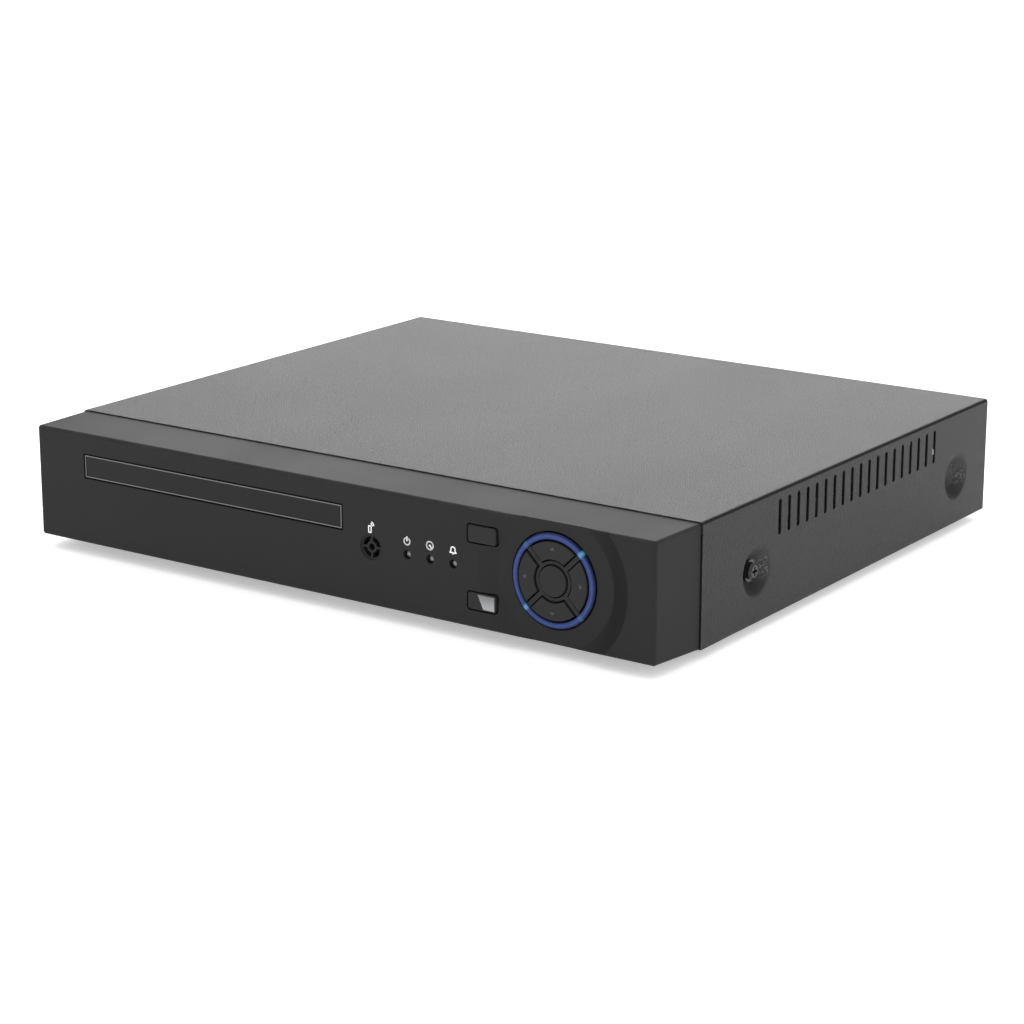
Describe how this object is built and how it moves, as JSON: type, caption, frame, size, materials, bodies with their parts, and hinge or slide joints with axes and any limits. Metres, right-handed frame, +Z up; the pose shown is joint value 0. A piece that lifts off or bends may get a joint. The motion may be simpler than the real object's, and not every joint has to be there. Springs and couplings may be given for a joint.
{
  "type": "video recorder",
  "caption": "Low rectangular video recorder: folded steel case with vented sides, moulded front with round keypad, keys, lights and name plate, hard disk inside, jacks at the back.",
  "frame": {"origin": "under the middle of the recorder, on the plane that its feet stand on", "axes": "+X to the right seen from the front, +Y from the front to the rear jacks, +Z up"},
  "size_m": [0.255, 0.233, 0.044],
  "materials": {
    "black_powder_coat": "fine textured powder coat",
    "black_plastic": "satin moulded",
    "key_plastic": "satin moulded",
    "rubber": "moulded",
    "black_screw": "black zinc",
    "bright_screw": "zinc",
    "label_black": "printed sheet",
    "label_silver": "polished",
    "blue_light": "translucent",
    "window_grey": "translucent",
    "lens": "clear",
    "ir_dark": "dark red filter",
    "chip_black": "moulded",
    "board_green": "solder mask",
    "board_blue": "solder mask",
    "nylon_white": "moulded",
    "switch_black": "moulded",
    "led_white": "moulded",
    "can_aluminium": "sleeved can",
    "sink_aluminium": "black anodised",
    "cell_steel": "polished",
    "nickel": "nickel plated",
    "gold": "gold plated",
    "vga_blue": "moulded",
    "port_steel": "tinned",
    "jack_black": "moulded",
    "rca_black": "moulded",
    "disk_cast": "cast, black washed",
    "disk_lid": "stamped",
    "platter": "mirror",
    "arm_aluminium": "machined",
    "ribbon_grey": "PVC",
    "lead_red": "PVC",
    "wire_mixed": "PVC"
  },
  "bodies": {
    "case": {"bottom_chassis": "black_powder_coat", "top_cover": "black_powder_coat", "front_bezel": "black_plastic", "rubber_feet": "rubber", "cover_screws": "black_screw", "bezel_screws": "bright_screw", "board_screws": "bright_screw", "disk_screws": "bright_screw", "label_frame": "label_silver", "label_plate": "label_black", "light_ring": "blue_light", "key_spider": "black_plastic", "front_board": "board_green", "front_board_screws": "bright_screw", "tact_switches": "port_steel", "ring_leds": "led_white", "led_domes": "lens", "ir_window": "ir_dark", "ir_receiver": "chip_black", "main_board": "board_green", "board_chips": "chip_black", "board_capacitors": "can_aluminium", "heat_sink": "sink_aluminium", "coin_cell": "cell_steel", "board_headers": "nylon_white", "bnc_shells": "nickel", "bnc_contacts": "gold", "bnc_housing": "jack_black", "rca_shells": "nickel", "rca_housing": "rca_black", "vga_shell": "nickel", "vga_insert": "vga_blue", "hdmi_port": "port_steel", "usb_ports": "port_steel", "lan_jack": "port_steel", "power_jack": "jack_black", "disk_casting": "disk_cast", "disk_lid": "disk_lid", "disk_board": "board_blue", "ribbon_cable": "ribbon_grey", "data_lead": "lead_red", "supply_wires": "wire_mixed", "lead_plugs": "nylon_white"},
    "up_key": {"key_up": "key_plastic", "plunger_up": "switch_black"},
    "down_key": {"key_down": "key_plastic", "plunger_down": "switch_black"},
    "left_key": {"key_left": "key_plastic", "plunger_left": "switch_black"},
    "right_key": {"key_right": "key_plastic", "plunger_right": "switch_black"},
    "ok_key": {"key_ok": "key_plastic", "plunger_ok": "switch_black"},
    "menu_key": {"key_menu": "key_plastic", "plunger_menu": "switch_black"},
    "power_key": {"key_power": "key_plastic", "plunger_power": "switch_black", "key_power_window": "window_grey"},
    "platter_stack": {"disk_platters": "platter"},
    "head_stack": {"head_arm": "arm_aluminium"}
  },
  "joints": [
    {"name": "up_press", "type": "slide", "parent": "case", "child": "up_key", "axis": [0, 1, 0], "range_m": [0, 0.0005], "stiffness_N_per_m": 1500, "springref_m": -0.0003},
    {"name": "down_press", "type": "slide", "parent": "case", "child": "down_key", "axis": [0, 1, 0], "range_m": [0, 0.0005], "stiffness_N_per_m": 1500, "springref_m": -0.0003},
    {"name": "left_press", "type": "slide", "parent": "case", "child": "left_key", "axis": [0, 1, 0], "range_m": [0, 0.0005], "stiffness_N_per_m": 1500, "springref_m": -0.0003},
    {"name": "right_press", "type": "slide", "parent": "case", "child": "right_key", "axis": [0, 1, 0], "range_m": [0, 0.0005], "stiffness_N_per_m": 1500, "springref_m": -0.0003},
    {"name": "ok_press", "type": "slide", "parent": "case", "child": "ok_key", "axis": [0, 1, 0], "range_m": [0, 0.0005], "stiffness_N_per_m": 1500, "springref_m": -0.0003},
    {"name": "menu_press", "type": "slide", "parent": "case", "child": "menu_key", "axis": [0, 1, 0], "range_m": [0, 0.0005], "stiffness_N_per_m": 1500, "springref_m": -0.0003},
    {"name": "power_press", "type": "slide", "parent": "case", "child": "power_key", "axis": [0, 1, 0], "range_m": [0, 0.0005], "stiffness_N_per_m": 1500, "springref_m": -0.0003},
    {"name": "platter_spin", "type": "hinge", "parent": "case", "child": "platter_stack", "pos_m": [-0.0655, -0.03125, 0.015], "axis": [0, 0, 1], "continuous": true},
    {"name": "head_swing", "type": "hinge", "parent": "case", "child": "head_stack", "pos_m": [-0.0055, -0.05825, 0.015], "axis": [0, 0, 1], "range_deg": [0, 55]}
  ]
}
